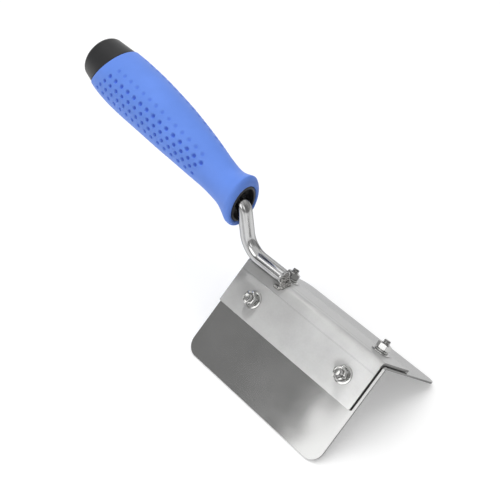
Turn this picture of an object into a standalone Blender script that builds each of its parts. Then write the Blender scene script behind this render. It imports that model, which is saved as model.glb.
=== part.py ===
"""Corner trowel for finishing drywall and plaster corners.

A folded stainless blade is bolted under a thicker folded bracket by four weld studs. A bent rod is
welded on the bracket's ridge and runs into a hollow black handle core with a soft blue grip over it.
Working frame: X along the ridge towards the blade's free end, Z up, symmetric about Y = 0, and the
origin where the blade's two outer faces would meet at its handle end. An empty then carries all
parts so that the blade's long edges stand on Z = 0 and the box is centred on X = 0.
"""

import math

import bmesh
import bpy
from mathutils import Matrix, Vector

MM = 0.001
GAP = 0.3 * MM  # clearance left between neighbouring parts
STACK_GAP = 0.2 * MM  # clearance inside a fastener stack

# blade and bracket
BLADE_LENGTH = 102 * MM
LEAF_WIDTH = 59 * MM  # along the outer face, from the virtual ridge line to the long edge
HALF_FOLD = math.radians(95.2) / 2  # angle between one leaf and the symmetry plane
BLADE_SHEET = 1.0 * MM
BLADE_FOLD_RADIUS = 1.3 * MM
BLADE_CORNER_RADIUS = 7.5 * MM
BRACKET_SHEET = 1.3 * MM
BRACKET_INSET = 2.0 * MM  # how far the bracket stops short of the blade's free end
BRACKET_LEAF = 27.2 * MM
BRACKET_CORNER_RADIUS = 0.8 * MM
BRACKET_TOP = GAP + BRACKET_SHEET  # height of the bracket's outer face over the blade's

# fasteners, M4
STUD_X = (18.0 * MM, 86.5 * MM)
STUD_DOWN = 15.6 * MM  # from the virtual ridge line down the leaf
STUD_RADIUS = 2.0 * MM
STUD_FLANGE_RADIUS = 2.6 * MM
STUD_FLANGE = 0.5 * MM
STUD_TIP = 8.8 * MM  # height of the stud's tip over the blade's outer face
HOLE_RADIUS = 3.0 * MM
WASHER_RADIUS = 5.0 * MM
WASHER = 0.6 * MM
SPRING_RADIUS = 3.8 * MM
SPRING = 0.7 * MM
NUT_FLATS = 7.0 * MM
NUT = 3.2 * MM
CLEAR_BORE = 2.3 * MM  # washer and nut bore radius

# shank rod
ROD_RADIUS = 4.0 * MM
ROD_LIFT = 5.6 * MM  # rod centre over the virtual ridge line
ROD_END = 27.5 * MM
ROD_CHAMFER = 0.4 * MM
LOWER_BEND = 12.5 * MM
UPPER_BEND = 6.0 * MM
RISER_ANGLE = math.radians(101.0)  # direction of the rod's middle stretch, from +X
RISER_FOOT = -1.3 * MM  # X where the middle stretch would meet the ridge stretch
TANG_FRONT = Vector((-6.9 * MM, 0.0, 32.0 * MM))  # where the rod's axis meets the handle's face
TANG_RISE = math.radians(15.5)
TANG_LENGTH = 46 * MM  # how far the rod reaches into the handle

# weld bead at the rod's end
BEAD_RADIUS = 1.5 * MM

# handle
HANDLE_FRONT = Vector((-6.8 * MM, 0.0, 32.6 * MM))
HANDLE_RISE = math.radians(11.6)  # slope of the chord from the front to the butt
HANDLE_LENGTH = 131.6 * MM
FRONT_LEAN = math.radians(12)  # lean of the front face's plane
FRONT_BLEND = 14 * MM  # beyond this distance the sections are square to the centre line
GRIP_WALL = 3.2 * MM
CORE_WALL = 1.8 * MM
SEAM_MEAN = 119.0 * MM  # distance of the grip's end from the front, on the sides
SEAM_LEAN = 7.2 * MM  # the seam plane leans, nearer on top and farther below
SHOULDER = 107.0 * MM  # where the butt cap's shoulder meets the core's rear end
SEAM_STEP = 0.5 * MM  # the grip stands proud of the black butt
COLLAR = (7.8 * MM, 12.6 * MM)  # half width and half height of the black ring in the front face
# outline sections: distance along the chord, lift over it, half width, half height
SECTIONS = (
    (0.0, -0.4, 11.0, 17.4),
    (3.0, 0.9, 11.0, 17.5),
    (7.0, 1.5, 10.4, 14.6),
    (11.0, 1.7, 9.9, 12.4),
    (16.0, 1.9, 9.8, 11.8),
    (24.0, 2.6, 10.3, 12.2),
    (36.0, 3.3, 11.7, 13.6),
    (48.0, 3.7, 13.0, 14.6),
    (60.0, 3.8, 14.1, 15.6),
    (72.0, 3.6, 14.8, 16.3),
    (84.0, 3.2, 15.4, 16.8),
    (96.0, 2.4, 15.8, 17.1),
    (108.0, 1.7, 15.8, 16.9),
    (117.0, 1.5, 15.3, 16.1),
    (124.0, 1.8, 14.4, 15.0),
    (131.6, 2.2, 13.2, 13.7),
)
# the flange's rounded lip: distance from the front, share of the way from the collar to the outline
LIP = ((1.4, 0.0), (0.5, 0.03), (0.1, 0.14), (0.0, 0.3), (0.2, 0.5), (0.7, 0.7), (1.5, 0.88), (3.0, 1.0))

# distances at which the core's outer and the grip's inner surface are both set out
CORE_STATIONS = (2.4, 4.0, 6.0, 9.0, 14.0, 22.0, 32.0, 46.0, 62.0, 80.0, 94.0, SHOULDER / MM)

SIDES_HANDLE = 40
SIDES_ROD = 20
SIDES_SMALL = 24


def clear_scene():
    for old in list(bpy.data.objects):
        bpy.data.objects.remove(old, do_unlink=True)


def material(name, colour, roughness, metallic):
    made = bpy.data.materials.new(name)
    made.use_nodes = True
    shader = made.node_tree.nodes["Principled BSDF"]
    shader.inputs["Base Color"].default_value = (*colour, 1.0)
    shader.inputs["Roughness"].default_value = roughness
    shader.inputs["Metallic"].default_value = metallic
    return made


def add_object(name, mesh, root, finish, smooth_angle=30):
    """Link a mesh as a named object under the root empty."""
    mesh.shade_smooth()
    mesh.set_sharp_from_angle(angle=math.radians(smooth_angle))
    made = bpy.data.objects.new(name, mesh)
    bpy.context.scene.collection.objects.link(made)
    made.parent = root
    mesh.materials.append(finish)
    return made


def loft(name, rings, closed):
    """Skin between rings of equal size. A closed loft joins the last ring to the first."""
    mesh_builder = bmesh.new()
    layers = [[mesh_builder.verts.new(point) for point in ring] for ring in rings]
    count = len(rings[0])
    pairs = list(zip(layers, layers[1:]))
    if closed:
        pairs.append((layers[-1], layers[0]))
    for lower, upper in pairs:
        for i in range(count):
            j = (i + 1) % count
            mesh_builder.faces.new((lower[i], lower[j], upper[j], upper[i]))
    if not closed:
        mesh_builder.faces.new(list(reversed(layers[0])))
        mesh_builder.faces.new(layers[-1])
    return finish_mesh(name, mesh_builder)


def finish_mesh(name, mesh_builder):
    bmesh.ops.recalc_face_normals(mesh_builder, faces=mesh_builder.faces)
    mesh = bpy.data.meshes.new(name)
    mesh_builder.to_mesh(mesh)
    mesh_builder.free()
    return mesh


def turned(name, profile, sides, closed):
    """Turn (radius, height) points about Z."""
    rings = []
    for radius, height in profile:
        rings.append([
            Vector((radius * math.cos(turn), radius * math.sin(turn), height))
            for turn in (2 * math.pi * i / sides for i in range(sides))
        ])
    return loft(name, rings, closed)


# ---- folded sheets ----


def fold_point(across, depth, top, radius):
    """Place a flat sheet's point on the folded sheet, depth under its outer face.

    The outer face lies top over the blade's, and across is the arc length from the ridge.
    """
    side = 1 if across >= 0 else -1
    turn = math.pi / 2 - HALF_FOLD  # half of the fold's turn
    apex = (top - radius) / math.sin(HALF_FOLD)  # height of the fold's centre line
    arc = radius * turn
    angle = min(abs(across) / radius, turn)
    reach = radius - depth
    y = reach * math.sin(angle)
    z = apex + reach * math.cos(angle)
    beyond = max(abs(across) - arc, 0.0)
    y += beyond * math.sin(HALF_FOLD)
    z -= beyond * math.cos(HALF_FOLD)
    return side * y, z


def half_width(leaf, radius, top):
    """Arc length from the ridge to the long edge of a leaf measured from the blade's virtual ridge."""
    turn = math.pi / 2 - HALF_FOLD
    tangent = (radius - top) / math.tan(HALF_FOLD)
    return leaf - tangent + radius * turn


def folded_sheet(name, start, end, leaf, thickness, top, radius, corner):
    """A sheet folded on the ridge with rounded corners, built from rows parallel to the ridge."""
    width = half_width(leaf, radius, top)
    arc = radius * (math.pi / 2 - HALF_FOLD)
    fold_steps = 5
    corner_steps = 6
    rows = [(arc * i / fold_steps, 0.0) for i in range(fold_steps + 1)]
    for i in range(corner_steps + 1):
        turn = math.pi / 2 * i / corner_steps
        rows.append((width - corner + corner * math.sin(turn), corner * (1 - math.cos(turn))))
    rows = [(-across, trim) for across, trim in reversed(rows[1:])] + rows
    sheet = bmesh.new()
    loops = []
    for across, trim in rows:
        corners = []
        for x, depth in (
            (start + trim, 0.0),
            (end - trim, 0.0),
            (end - trim, thickness),
            (start + trim, thickness),
        ):
            y, z = fold_point(across, depth, top, radius)
            corners.append(sheet.verts.new((x, y, z)))
        loops.append(corners)
    for near, far in zip(loops, loops[1:]):
        for i in range(4):
            j = (i + 1) % 4
            sheet.faces.new((near[i], near[j], far[j], far[i]))
    sheet.faces.new(list(reversed(loops[0])))
    sheet.faces.new(loops[-1])
    return finish_mesh(name, sheet)


def leaf_matrix(side, x, down):
    """Frame on a leaf's outer face: Z out of the leaf, X along the ridge."""
    out = Vector((0, side * math.cos(HALF_FOLD), math.sin(HALF_FOLD)))
    slope = Vector((0, side * math.sin(HALF_FOLD), -math.cos(HALF_FOLD)))
    ridge = Vector((1, 0, 0))
    across = out.cross(ridge)
    place = Matrix((ridge, across, out)).transposed().to_4x4()
    place.translation = ridge * x + slope * down
    return place


def stud_places():
    for side, side_name in ((-1, "right"), (1, "left")):
        for x, end_name in zip(STUD_X, ("rear", "front")):
            yield f"{end_name}_{side_name}", leaf_matrix(side, x, STUD_DOWN)


# ---- fasteners, each built about Z with Z = 0 on the blade's outer face ----


def stud_mesh():
    foot = GAP
    chamfer = 0.5 * MM
    profile = (
        (STUD_FLANGE_RADIUS, foot),
        (STUD_FLANGE_RADIUS, foot + STUD_FLANGE),
        (STUD_RADIUS, foot + STUD_FLANGE),
        (STUD_RADIUS, STUD_TIP - chamfer),
        (STUD_RADIUS - chamfer, STUD_TIP),
    )
    return turned("weld_stud", profile, SIDES_SMALL, closed=False)


def ring_mesh(name, inner, outer, low, high):
    profile = ((inner, low), (outer, low), (outer, high), (inner, high))
    return turned(name, profile, SIDES_SMALL, closed=True)


def spring_washer_mesh(low, high):
    """A split ring with its two ends cut on the slant."""
    steps = SIDES_SMALL
    slit = math.radians(14)
    lean = math.radians(10)  # how far the upper edge of a cut runs ahead of the lower one
    rings = []
    for i in range(steps + 1):
        turn = slit / 2 + (2 * math.pi - slit) * i / steps
        ring = []
        for radius, height, shift in (
            (CLEAR_BORE, low, -lean / 2),
            (SPRING_RADIUS, low, -lean / 2),
            (SPRING_RADIUS, high, lean / 2),
            (CLEAR_BORE, high, lean / 2),
        ):
            angle = turn + shift
            ring.append(Vector((radius * math.cos(angle), radius * math.sin(angle), height)))
        rings.append(ring)
    return loft("spring_washer", rings, closed=False)


def nut_mesh(low, high):
    """Hexagon nut with both faces chamfered at 30 degrees."""
    sides = SIDES_SMALL
    face_radius = 0.96 * NUT_FLATS / 2
    bore_relief = 0.35 * MM
    tangent = math.tan(math.radians(30))
    outline = []
    for i in range(sides):
        turn = 2 * math.pi * i / sides
        from_flat = (turn + math.pi / 6) % (math.pi / 3) - math.pi / 6
        outline.append((turn, NUT_FLATS / 2 / math.cos(from_flat)))

    def circle(radius, height):
        return [Vector((radius * math.cos(t), radius * math.sin(t), height)) for t, _ in outline]

    def hexagon(face, direction):
        return [
            Vector((r * math.cos(t), r * math.sin(t), face - direction * (r - face_radius) * tangent))
            for t, r in outline
        ]

    rings = [
        circle(CLEAR_BORE, low + bore_relief),
        circle(CLEAR_BORE + bore_relief, low),
        circle(face_radius, low),
        hexagon(low, -1),
        hexagon(high, 1),
        circle(face_radius, high),
        circle(CLEAR_BORE + bore_relief, high),
        circle(CLEAR_BORE, high - bore_relief),
    ]
    return loft("hex_nut", rings, closed=True)


# ---- rod and bead, swept in the symmetry plane ----


def arc_points(centre, radius, start, end, steps):
    """Points and travel directions round an arc in the XZ plane."""
    sense = 1 if end > start else -1
    for i in range(steps + 1):
        angle = start + (end - start) * i / steps
        point = centre + radius * Vector((math.cos(angle), 0, math.sin(angle)))
        yield point, sense * Vector((-math.sin(angle), 0, math.cos(angle)))


def cross_ring(point, travel, radius, sides):
    """Circle round a point of a path that stays in the XZ plane."""
    side = Vector((0, 1, 0))
    up = side.cross(travel)
    return [
        point + radius * (math.cos(turn) * up + math.sin(turn) * side)
        for turn in (2 * math.pi * i / sides for i in range(sides))
    ]


def rod_path():
    """Centre line from the rod's end on the ridge to the tang's end inside the handle."""
    rise = Vector((math.cos(RISER_ANGLE), 0, math.sin(RISER_ANGLE)))
    back = rising(TANG_RISE)
    foot = Vector((RISER_FOOT, 0, ROD_LIFT))
    # the middle stretch meets the tang's line at the head
    head = foot + rise * ((TANG_FRONT - foot).cross(back).y / rise.cross(back).y)
    lower_turn = math.pi - RISER_ANGLE
    upper_turn = math.pi - TANG_RISE - RISER_ANGLE
    lower_run = LOWER_BEND * math.tan(lower_turn / 2)
    upper_run = UPPER_BEND * math.tan(upper_turn / 2)
    lower_centre = Vector((foot.x + lower_run, 0, foot.z + LOWER_BEND))
    upper_start = head - rise * upper_run
    upper_centre = upper_start + UPPER_BEND * Vector((-rise.z, 0, rise.x))
    west = Vector((-1, 0, 0))
    path = [(Vector((ROD_END, 0, ROD_LIFT)), west)]
    path += arc_points(lower_centre, LOWER_BEND, -math.pi / 2, -math.pi / 2 - lower_turn, 12)
    upper_angle = RISER_ANGLE - math.pi / 2
    path += arc_points(upper_centre, UPPER_BEND, upper_angle, upper_angle + upper_turn, 10)
    path.append((tang_line(TANG_LENGTH), back))
    return path


def bead_mesh():
    """U-shaped weld bead lying on the ridge round the rod's end."""
    steps = 18
    sides = 10
    start_x = ROD_END - 3.3 * MM
    reach = 5.6 * MM
    spread = 4.6 * MM  # arc length down each side of the ridge
    lift = BEAD_RADIUS + GAP
    path = []
    for i in range(steps + 1):
        turn = math.pi * (i / steps - 0.5)
        across = spread * math.sin(turn)
        y, z = fold_point(across, -lift, BRACKET_TOP, bracket_radius())
        path.append(Vector((start_x + reach * max(math.cos(turn), 0.0) ** 0.7, y, z)))
    rings = []
    for i, point in enumerate(path):
        travel = (path[min(i + 1, steps)] - path[max(i - 1, 0)]).normalized()
        side = travel.cross(Vector((0, 0, 1))).normalized()
        up = side.cross(travel)
        end_taper = min(1.0, 0.35 + 0.35 * min(i, steps - i))
        ripple = 0.94 + 0.06 * math.cos(2 * math.pi * i / 3)
        radius = BEAD_RADIUS * end_taper * ripple
        rings.append([
            point + radius * (math.cos(t) * side + math.sin(t) * up)
            for t in (2 * math.pi * k / sides for k in range(sides))
        ])
    return loft("weld_bead", rings, closed=False)


def rod_mesh():
    path = rod_path()
    first, travel = path[0]
    last, last_travel = path[-1]
    rings = [
        cross_ring(first, travel, ROD_RADIUS - ROD_CHAMFER, SIDES_ROD),
        cross_ring(first + travel * ROD_CHAMFER, travel, ROD_RADIUS, SIDES_ROD),
    ]
    rings += [cross_ring(point, way, ROD_RADIUS, SIDES_ROD) for point, way in path[1:-1]]
    rings.append(cross_ring(last - last_travel * ROD_CHAMFER, last_travel, ROD_RADIUS, SIDES_ROD))
    rings.append(cross_ring(last, last_travel, ROD_RADIUS - ROD_CHAMFER, SIDES_ROD))
    return loft("shank_rod", rings, closed=False)


# ---- handle ----


def bracket_radius():
    return BLADE_FOLD_RADIUS + BRACKET_TOP


def section(s):
    """Lift, half width and half height of the outline at a distance from the front."""
    rows = [[value * MM for value in row] for row in SECTIONS]
    s = min(max(s, rows[0][0]), rows[-1][0])
    k = 0
    while s > rows[k + 1][0]:
        k += 1
    run = rows[k + 1][0] - rows[k][0]
    t = (s - rows[k][0]) / run

    def slope(i, column):
        low, high = rows[max(i - 1, 0)], rows[min(i + 1, len(rows) - 1)]
        return (high[column] - low[column]) / (high[0] - low[0])

    return [
        (2 * t**3 - 3 * t**2 + 1) * rows[k][column]
        + (t**3 - 2 * t**2 + t) * run * slope(k, column)
        + (3 * t**2 - 2 * t**3) * rows[k + 1][column]
        + (t**3 - t**2) * run * slope(k + 1, column)
        for column in (1, 2, 3)
    ]


def smooth_step(value, low, high):
    t = min(max((value - low) / (high - low), 0.0), 1.0)
    return t * t * (3 - 2 * t)


def outline(s, inset=0.0):
    """Station on the handle's outline, or a depth inside it."""
    _, width, height = section(s)
    return s, width - inset, height - inset


def core_outline(s, inset=0.0):
    """Station on the core: the collar at the front, then a grip wall's depth under the outline."""
    blend = smooth_step(s, 2.4 * MM, 9.0 * MM)
    _, width, height = outline(s, GRIP_WALL)
    width = COLLAR[0] * (1 - blend) + width * blend
    height = COLLAR[1] * (1 - blend) + height * blend
    return s, width - inset, height - inset


def rising(angle):
    """Unit vector from the front towards the butt, climbing by an angle."""
    return Vector((-math.cos(angle), 0, math.sin(angle)))


def tang_line(s):
    """The rod's axis, level with the centre line's distance s."""
    return TANG_FRONT + rising(TANG_RISE) * s


def centre_line(s):
    chord_up = Vector((math.sin(HANDLE_RISE), 0, math.cos(HANDLE_RISE)))
    return HANDLE_FRONT + rising(HANDLE_RISE) * s + chord_up * section(s)[0]


def section_up(s):
    """Upward direction of a section: along the front face, then square to the centre line."""
    step = 2 * MM
    run = centre_line(s + step) - centre_line(s - step)
    blend = smooth_step(s, 0.0, FRONT_BLEND)
    lean = math.atan2(run.z, -run.x) * blend + FRONT_LEAN * (1 - blend)
    return Vector((math.sin(lean), 0, math.cos(lean)))


def handle_ring(station, line=centre_line):
    """One ring. The station gives distance, half width and half height for a turn from the top."""
    ring = []
    for i in range(SIDES_HANDLE):
        turn = 2 * math.pi * i / SIDES_HANDLE
        s, width, height = station(turn)
        ring.append(
            line(s)
            + height * math.cos(turn) * section_up(s)
            + width * math.sin(turn) * Vector((0, -1, 0))
        )
    return ring


def seam(turn):
    """Distance of the grip's rear edge from the front, round the handle."""
    return SEAM_MEAN - SEAM_LEAN * math.cos(turn)


def under_seam(turn, share, clearance):
    """Station on the surface under the grip's rear edge, from the butt's shoulder to the seam."""
    return core_outline(SHOULDER + (seam(turn) - SHOULDER) * share, -clearance)


def grip_mesh():
    """Soft sleeve: a flange round the collar, the outline, the seam and the inner surface."""
    edge = 0.8 * MM  # rounding of the rear edge
    last = 98 * MM  # from here the rings lean with the seam
    _, flange_width, flange_height = outline(LIP[-1][0] * MM)
    inner_width, inner_height = COLLAR[0] + GAP, COLLAR[1] + GAP
    rings = []
    for distance, share in LIP:
        width = inner_width + (flange_width - inner_width) * share
        height = inner_height + (flange_height - inner_height) * share
        rings.append(handle_ring(lambda turn, lip=(distance * MM, width, height): lip))
    for distance in (4.4, 6.0, 8.0, 10.5, 13.5, 17, 22, 28, 36, 45, 54, 64, 74, 83, 91, 98):
        rings.append(handle_ring(lambda turn, s=distance * MM: outline(s)))
    for share in (0.4, 0.75, 1.0):
        rings.append(handle_ring(
            lambda turn, share=share: outline(last + (seam(turn) - edge - last) * share)
        ))
    rings.append(handle_ring(lambda turn: outline(seam(turn) - 0.2 * edge, 0.25 * edge)))
    rings.append(handle_ring(lambda turn: outline(seam(turn), edge)))
    rings.append(handle_ring(lambda turn: core_outline(seam(turn), -GAP)))
    rings.append(handle_ring(lambda turn: under_seam(turn, 0.5, GAP)))
    for distance in reversed(CORE_STATIONS):
        rings.append(handle_ring(lambda turn, s=distance * MM: core_outline(s, -GAP)))
    return loft("grip_sleeve", rings, closed=True)


def core_mesh():
    """Hollow core: collar and front boss, a web round the tang's end, open at the rear."""
    rear = SHOULDER - GAP
    recess = [size - 2.2 * MM for size in COLLAR]
    recess_floor = 5.0 * MM
    boss_end = 18.0 * MM
    web = (TANG_LENGTH - 8 * MM, TANG_LENGTH - 1 * MM)
    bore = ROD_RADIUS + GAP
    chamfer = 0.4 * MM

    def oval(s, inset):
        return handle_ring(lambda turn: core_outline(s, inset))

    def hollow(s):
        return oval(s, CORE_WALL)

    def bored(s):
        return handle_ring(lambda turn: (s, bore, bore), tang_line)

    rings = [oval(0.0, chamfer), oval(chamfer, 0.0)]
    rings += [oval(distance * MM, 0.0) for distance in CORE_STATIONS[:-1]]
    rings += [oval(rear, 0.0), hollow(rear), hollow(100 * MM), hollow(90 * MM)]
    rings += [hollow(74 * MM), hollow(58 * MM)]
    rings += [hollow(web[1]), bored(web[1]), bored(web[0]), hollow(web[0]), hollow(28 * MM)]
    rings += [hollow(boss_end), bored(boss_end), bored(recess_floor)]
    for s in (recess_floor, 0.0):
        rings.append(handle_ring(lambda turn, s=s: (s, *recess)))
    return loft("handle_core", rings, closed=True)


def butt_mesh():
    """Black butt: a spigot inside the core, a shoulder under the grip's rear edge and the end."""
    wall = 2.0 * MM
    spigot_inset = CORE_WALL + 0.5 * MM
    spigot_stations = (SHOULDER, 100 * MM, 92 * MM)
    corner = 2.5 * MM  # rounding of the end's rim
    crown = 0.5 * MM
    body_end = HANDLE_LENGTH - crown - corner

    def surface(s, inset=0.0):
        return outline(s, SEAM_STEP + inset)

    def ring_at(station, s, inset):
        return handle_ring(lambda turn: station(s, inset))

    def end_ring(share, distance):
        _, width, height = surface(body_end, corner)
        return handle_ring(lambda turn: (distance, width * share, height * share))

    inner_end = body_end - 0.5 * MM
    rings = [end_ring(0.5, inner_end + 0.4 * MM), end_ring(0.85, inner_end)]
    rings.append(ring_at(surface, inner_end - 1.5 * MM, wall))
    rings.append(ring_at(surface, 121 * MM, wall))
    rings += [ring_at(core_outline, s, spigot_inset + wall) for s in spigot_stations]
    rings += [ring_at(core_outline, s, spigot_inset) for s in reversed(spigot_stations)]
    rings.append(ring_at(core_outline, SHOULDER, 0.0))
    rings.append(handle_ring(lambda turn: under_seam(turn, 0.5, 0.0)))
    rings.append(handle_ring(lambda turn: (seam(turn) + GAP, *core_outline(seam(turn))[1:])))
    rings.append(handle_ring(lambda turn: surface(seam(turn) + GAP)))
    for share in (0.5, 1.0):
        rings.append(handle_ring(
            lambda turn, share=share: surface(seam(turn) + GAP + (body_end - seam(turn) - GAP) * share)
        ))
    corner_steps = 4
    for i in range(1, corner_steps + 1):
        angle = math.pi / 2 * i / corner_steps
        s = body_end + corner * math.sin(angle)
        _, width, height = surface(body_end, corner * (1 - math.cos(angle)))
        rings.append(handle_ring(lambda turn, end=(s, width, height): end))
    rings.append(end_ring(0.6, HANDLE_LENGTH - 0.3 * crown))
    rings.append(end_ring(0.2, HANDLE_LENGTH))
    return loft("butt_cap", rings, closed=False)


# ---- assembly ----


def cut_stud_holes(bracket, root):
    cutter_mesh = bmesh.new()
    for _, place in stud_places():
        bmesh.ops.create_cone(
            cutter_mesh,
            cap_ends=True,
            segments=SIDES_SMALL,
            radius1=HOLE_RADIUS,
            radius2=HOLE_RADIUS,
            depth=4 * BRACKET_TOP,
            matrix=place,
        )
    mesh = bpy.data.meshes.new("stud_hole_cutter")
    cutter_mesh.to_mesh(mesh)
    cutter_mesh.free()
    cutter = bpy.data.objects.new("stud_hole_cutter", mesh)
    bpy.context.scene.collection.objects.link(cutter)
    cutter.parent = root
    cutter.hide_render = True
    cutter.display_type = "WIRE"
    holes = bracket.modifiers.new("stud_holes", "BOOLEAN")
    holes.operation = "DIFFERENCE"
    holes.object = cutter


def add_fasteners(root, finish):
    flat_low = BRACKET_TOP + STACK_GAP
    flat_high = flat_low + WASHER
    spring_low = flat_high + STACK_GAP
    spring_high = spring_low + SPRING
    nut_low = spring_high + STACK_GAP
    kinds = (
        ("weld_stud", stud_mesh()),
        ("flat_washer", ring_mesh("flat_washer", CLEAR_BORE, WASHER_RADIUS, flat_low, flat_high)),
        ("spring_washer", spring_washer_mesh(spring_low, spring_high)),
        ("hex_nut", nut_mesh(nut_low, nut_low + NUT)),
    )
    for kind, mesh in kinds:
        mesh.materials.append(finish)
        mesh.shade_smooth()
        mesh.set_sharp_from_angle(angle=math.radians(30))
        for where, place in stud_places():
            made = bpy.data.objects.new(f"{kind}_{where}", mesh)
            bpy.context.scene.collection.objects.link(made)
            made.parent = root
            made.matrix_basis = place


def stand_on_floor(root):
    """Move the root so that the box is centred on X and its lowest point is on the floor."""
    bpy.context.view_layer.update()
    corners = [
        piece.matrix_world @ vertex.co
        for piece in root.children
        if piece.type == "MESH" and not piece.hide_render
        for vertex in piece.data.vertices
    ]
    xs = [corner.x for corner in corners]
    root.location = (-(min(xs) + max(xs)) / 2, 0, -min(corner.z for corner in corners))


def build():
    clear_scene()
    root = bpy.data.objects.new("trowel", None)
    bpy.context.scene.collection.objects.link(root)
    steel = material("brushed_stainless", (0.62, 0.62, 0.61), 0.32, 1.0)
    bracket_steel = material("bracket_stainless", (0.66, 0.66, 0.65), 0.28, 1.0)
    rod_steel = material("rod_steel", (0.60, 0.60, 0.60), 0.2, 1.0)
    weld = material("weld_metal", (0.55, 0.54, 0.52), 0.35, 1.0)
    fastener_steel = material("fastener_steel", (0.58, 0.58, 0.57), 0.25, 1.0)
    blue = material("blue_rubber", (0.12, 0.23, 0.75), 0.55, 0.0)
    black = material("black_plastic", (0.03, 0.03, 0.032), 0.4, 0.0)

    blade = folded_sheet(
        "blade", 0.0, BLADE_LENGTH, LEAF_WIDTH, BLADE_SHEET, 0.0, BLADE_FOLD_RADIUS, BLADE_CORNER_RADIUS
    )
    add_object("blade", blade, root, steel)
    bracket_mesh = folded_sheet(
        "backing_bracket",
        0.0,
        BLADE_LENGTH - BRACKET_INSET,
        BRACKET_LEAF,
        BRACKET_SHEET,
        BRACKET_TOP,
        bracket_radius(),
        BRACKET_CORNER_RADIUS,
    )
    bracket = add_object("backing_bracket", bracket_mesh, root, bracket_steel)
    cut_stud_holes(bracket, root)
    add_fasteners(root, fastener_steel)
    add_object("shank_rod", rod_mesh(), root, rod_steel)
    add_object("weld_bead", bead_mesh(), root, weld)
    add_object("handle_core", core_mesh(), root, black)
    add_object("grip_sleeve", grip_mesh(), root, blue)
    add_object("butt_cap", butt_mesh(), root, black)
    stand_on_floor(root)


build()
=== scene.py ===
"""Looks for the corner trowel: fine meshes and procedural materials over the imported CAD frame."""

import math

import bmesh
import bpy
from mathutils import Matrix, Vector

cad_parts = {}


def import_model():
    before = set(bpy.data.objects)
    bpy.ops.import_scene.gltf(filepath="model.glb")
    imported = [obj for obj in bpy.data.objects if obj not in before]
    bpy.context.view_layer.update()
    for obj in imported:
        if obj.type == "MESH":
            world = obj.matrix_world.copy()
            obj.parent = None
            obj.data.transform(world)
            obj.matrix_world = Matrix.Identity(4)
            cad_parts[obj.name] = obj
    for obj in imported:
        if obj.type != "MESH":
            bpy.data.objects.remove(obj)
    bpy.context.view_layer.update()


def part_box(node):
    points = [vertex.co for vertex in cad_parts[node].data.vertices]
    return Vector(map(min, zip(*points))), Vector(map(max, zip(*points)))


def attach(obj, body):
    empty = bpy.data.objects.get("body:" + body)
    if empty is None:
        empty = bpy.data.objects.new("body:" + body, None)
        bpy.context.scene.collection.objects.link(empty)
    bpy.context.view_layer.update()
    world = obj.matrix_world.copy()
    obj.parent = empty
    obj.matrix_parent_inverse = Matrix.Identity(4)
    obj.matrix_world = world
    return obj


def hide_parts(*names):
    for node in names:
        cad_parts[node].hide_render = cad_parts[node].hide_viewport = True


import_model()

# The trowel's own frame is in millimetres: X along the ridge towards the free end, Z up, and the origin where
# the blade's two outer faces would meet at the handle end.
HALF_FOLD = math.radians(47.6)  # angle between one leaf and the symmetry plane
BLADE_FOLD_RADIUS = 1.3
blade_low, blade_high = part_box("blade")
ORIGIN = Vector((
    blade_low.x * 1000,
    0,
    blade_high.z * 1000 + BLADE_FOLD_RADIUS * (1 / math.sin(HALF_FOLD) - 1),
))


def world(point):
    return (Vector(point) + ORIGIN) / 1000


# ---- camera ----

CAMERA_PLACE = (334.1, -291.5, 376.6)
CAMERA_LOOK = (-0.579, 0.504, -0.641)
CAMERA_UP = (-0.508, 0.393, 0.767)

camera_data = bpy.data.cameras.new("camera")
camera_data.lens = 78.48
camera_data.sensor_width = 36
camera_data.clip_start = 0.01
camera_data.clip_end = 20
camera = bpy.data.objects.new("camera", camera_data)
bpy.context.scene.collection.objects.link(camera)
look = Vector(CAMERA_LOOK).normalized()
right = look.cross(Vector(CAMERA_UP)).normalized()
turned_to = Matrix((right, right.cross(look), -look)).transposed().to_4x4()
turned_to.translation = world(CAMERA_PLACE)
camera.matrix_world = turned_to
bpy.context.scene.camera = camera

# ---- mesh helpers ----


def shown(name, data):
    """An object in the scene that shows a mesh or a light."""
    made = bpy.data.objects.new(name, data)
    bpy.context.scene.collection.objects.link(made)
    return made


def taken_mesh(holder):
    """The mesh that a helper object's modifiers make. The helper is removed."""
    made = bpy.data.meshes.new_from_object(holder.evaluated_get(bpy.context.evaluated_depsgraph_get()))
    bpy.data.objects.remove(holder)
    return made


def piece(name, mesh, finish, slot, *nodes, sharp):
    """Turn a mesh in the trowel's frame into a finished piece that stands for CAD nodes.

    Edges of more than this many degrees are shaded sharp.
    """
    for vertex in mesh.vertices:
        vertex.co = world(vertex.co)
    mesh.shade_smooth()
    mesh.set_sharp_from_angle(angle=math.radians(sharp))
    made = shown(name, mesh)
    mesh.materials.clear()
    mesh.materials.append(finish)
    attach(made, "root")
    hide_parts(*nodes)
    return made


def to_mesh(name, builder):
    bmesh.ops.recalc_face_normals(builder, faces=builder.faces)
    mesh = bpy.data.meshes.new(name)
    builder.to_mesh(mesh)
    builder.free()
    return mesh


def loft(name, rings, closed):
    """Skin between rings of equal size. A closed loft joins the last ring to the first."""
    builder = bmesh.new()
    layers = [[builder.verts.new(point) for point in ring] for ring in rings]
    count = len(rings[0])
    pairs = list(zip(layers, layers[1:]))
    if closed:
        pairs.append((layers[-1], layers[0]))
    for lower, upper in pairs:
        for i in range(count):
            j = (i + 1) % count
            builder.faces.new((lower[i], lower[j], upper[j], upper[i]))
    if not closed:
        builder.faces.new(layers[0])
        builder.faces.new(layers[-1])
    return to_mesh(name, builder)


def turned(profile, sides):
    """One ring about Z for each (radius, height) of a profile."""
    return [
        [
            Vector((radius * math.cos(t), radius * math.sin(t), height))
            for t in (2 * math.pi * i / sides for i in range(sides))
        ]
        for radius, height in profile
    ]


def smooth_step(value, low, high):
    t = min(max((value - low) / (high - low), 0.0), 1.0)
    return t * t * (3 - 2 * t)


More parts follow.
